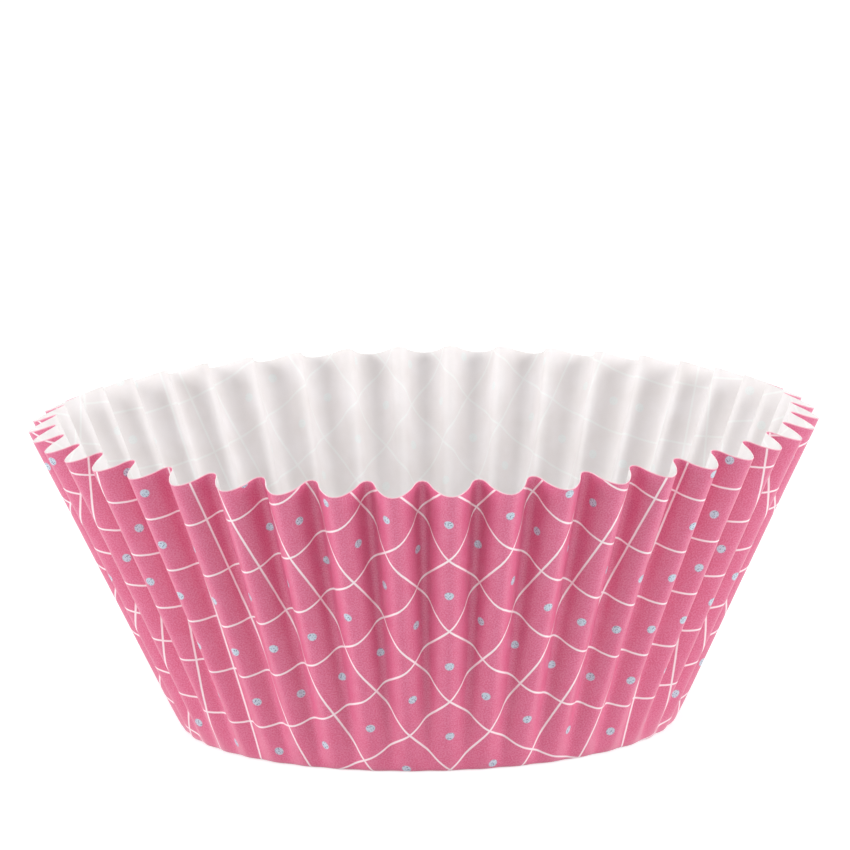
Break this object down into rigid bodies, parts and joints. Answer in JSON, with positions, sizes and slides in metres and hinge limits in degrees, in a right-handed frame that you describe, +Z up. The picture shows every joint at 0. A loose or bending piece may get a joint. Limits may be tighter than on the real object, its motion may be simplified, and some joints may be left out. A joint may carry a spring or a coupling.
{
  "type": "greaseproof baking cup",
  "caption": "Fluted greaseproof paper baking cup with a flat round base and a flared, evenly pleated wall, printed outside and plain inside.",
  "frame": {"origin": "centre of the underside of the flat base", "axes": "+Z up along the cup's axis, out of its mouth; -Y is the front, the side that the picture shows"},
  "size_m": [0.0814, 0.0813, 0.0324],
  "materials": {
    "greaseproof_paper": "matt printed paper outside, plain white inside"
  },
  "bodies": {
    "root": {"baking_cup": "greaseproof_paper"}
  },
  "joints": []
}
